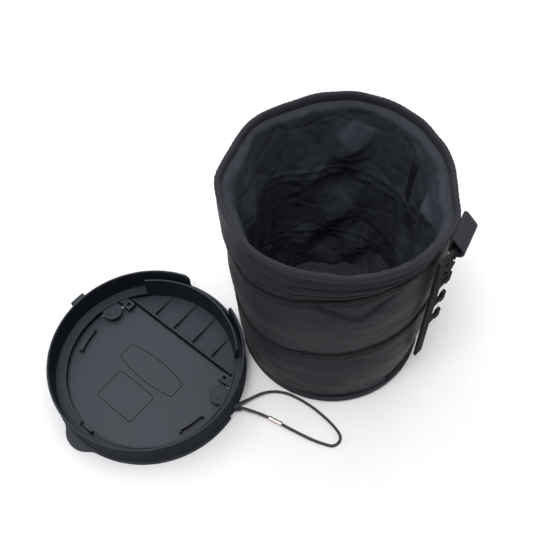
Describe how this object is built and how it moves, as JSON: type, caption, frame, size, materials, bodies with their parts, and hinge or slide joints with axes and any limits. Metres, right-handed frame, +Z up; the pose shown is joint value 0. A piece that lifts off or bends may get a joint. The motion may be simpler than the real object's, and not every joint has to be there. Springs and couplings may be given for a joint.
{
  "type": "pop-up car trash bin",
  "caption": "Round pop-up fabric bin on a coil spring, standing open, with its hinged plastic lid taken off beside it, an elastic loop and a hook strip to hang it in a car.",
  "frame": {"origin": "middle of the barrel's foot, on the surface that it stands on", "axes": "+Z up along the barrel's axis, +X from the lid towards the barrel, -Y towards the viewer of the picture"},
  "size_m": [0.3311, 0.2104, 0.208],
  "materials": {
    "nylon": "woven nylon with a faint sheen",
    "lining": "coated waterproof cloth",
    "hem_tape": "woven tape",
    "spring_wire": "drawn wire",
    "webbing": "ribbed webbing",
    "strip_plastic": "smooth moulded",
    "lid_plastic": "satin moulded",
    "flap_plastic": "satin moulded",
    "elastic": "braided elastic",
    "crimp": "satin"
  },
  "bodies": {
    "base": {"outer_wall": "nylon", "outer_base": "nylon", "inner_lining": "lining", "lining_base": "lining", "base_binding": "hem_tape", "base_hoop": "spring_wire", "coil_spring": "spring_wire", "spring_sleeve": "hem_tape", "lid_ring": "lid_plastic", "hinge_pins": "spring_wire", "elastic_cord": "elastic", "cord_ferrule": "crimp"},
    "rim": {"rim_binding": "hem_tape", "top_hoop": "spring_wire", "webbing_loop": "webbing"},
    "strip": {"hook_strip": "strip_plastic"},
    "flap": {"lid_flap": "flap_plastic"}
  },
  "joints": [
    {"name": "rim_collapse", "type": "slide", "parent": "base", "child": "rim", "axis": [0, 0, -1], "range_m": [0, 0.172], "stiffness_N_per_m": 50, "springref_m": -0.025, "deforming": ["outer_wall", "inner_lining", "coil_spring", "spring_sleeve"]},
    {"name": "flap_hinge", "type": "hinge", "parent": "base", "child": "flap", "pos_m": [-0.13824, -0.01989, 0.0044], "axis": [0.766, -0.6428, 0], "range_deg": [0, 105]},
    {"name": "strip_swing", "type": "hinge", "parent": "rim", "child": "strip", "pos_m": [0.07646, -0.04151, 0.19133], "axis": [-0.4772, -0.8788, 0], "range_deg": [0, 95]}
  ]
}
